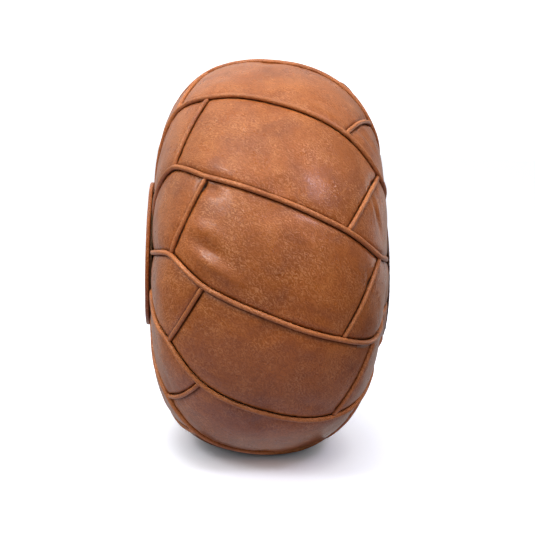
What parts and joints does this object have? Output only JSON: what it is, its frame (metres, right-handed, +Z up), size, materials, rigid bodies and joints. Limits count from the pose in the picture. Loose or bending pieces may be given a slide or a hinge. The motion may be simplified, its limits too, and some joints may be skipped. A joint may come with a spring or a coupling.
{
  "type": "leather pouf",
  "caption": "Round stuffed leather pouf with a woven pattern of piped panels, a raised top disc and a curved zip in its base, standing on its edge.",
  "frame": {"origin": "middle of the flat patch that the pouf rests on, on the floor below its middle", "axes": "+X along the pouf's axis from its top face to its base face with the zip, +Z up, -Y towards the side seen in the picture"},
  "size_m": [0.3454, 0.562, 0.5529],
  "materials": {
    "side_leather": "semi-gloss tan leather, fine grain with light crackle",
    "top_leather": "semi-gloss tan leather, fine grain with light crackle",
    "base_leather": "semi-gloss tan leather, fine grain with light crackle",
    "piping_leather": "lighter tan leather over a round cord",
    "disc_leather": "tan leather drawn over a stiff board",
    "disc_board": "pressed fibre board, matt",
    "zip_tape": "woven brown tape, dyed to match the leather",
    "zip_coil": "brown nylon coil",
    "zip_metal": "bright nickel plate",
    "liner": "plain undyed cloth",
    "filling": "compressed fibre"
  },
  "bodies": {
    "pouf": {"side_panel_01": "side_leather", "side_panel_02": "side_leather", "side_panel_03": "side_leather", "side_panel_04": "side_leather", "side_panel_05": "side_leather", "side_panel_06": "side_leather", "side_panel_07": "side_leather", "side_panel_08": "side_leather", "side_panel_09": "side_leather", "side_panel_10": "side_leather", "side_panel_11": "side_leather", "side_panel_12": "side_leather", "top_petal_01": "top_leather", "top_petal_02": "top_leather", "top_petal_03": "top_leather", "top_petal_04": "top_leather", "top_petal_05": "top_leather", "top_petal_06": "top_leather", "top_petal_07": "top_leather", "top_petal_08": "top_leather", "top_petal_09": "top_leather", "top_petal_10": "top_leather", "top_petal_11": "top_leather", "top_petal_12": "top_leather", "base_petal_01": "base_leather", "base_petal_02": "base_leather", "base_petal_03": "base_leather", "base_petal_04": "base_leather", "base_petal_05": "base_leather", "base_petal_06": "base_leather", "base_petal_07": "base_leather", "base_petal_08": "base_leather", "base_petal_09": "base_leather", "base_petal_10": "base_leather", "base_petal_11": "base_leather", "base_petal_12": "base_leather", "piping_01": "piping_leather", "piping_02": "piping_leather", "piping_03": "piping_leather", "piping_04": "piping_leather", "piping_05": "piping_leather", "piping_06": "piping_leather", "piping_07": "piping_leather", "piping_08": "piping_leather", "piping_09": "piping_leather", "piping_10": "piping_leather", "piping_11": "piping_leather", "piping_12": "piping_leather", "top_disc_cover": "disc_leather", "top_disc_board": "disc_board", "base_disc_panel": "base_leather", "base_hinge_strip": "base_leather", "zip_tape_inner": "zip_tape", "zip_tape_outer": "zip_tape", "zip_coil_inner": "zip_coil", "zip_coil_outer": "zip_coil", "inner_liner": "liner", "filling": "filling"},
    "slider": {"zip_slider": "zip_metal"},
    "pull": {"zip_pull": "zip_metal"}
  },
  "joints": [
    {"name": "zip_run", "type": "hinge", "parent": "pouf", "child": "slider", "pos_m": [0.1665, 0, 0.272], "axis": [-0.998, 0, -0.0628], "range_deg": [0, 197]},
    {"name": "pull_swing", "type": "hinge", "parent": "slider", "child": "pull", "pos_m": [0.17751, -0.02588, 0.17591], "axis": [0.0607, -0.2588, -0.964], "range_deg": [0, 170]}
  ]
}
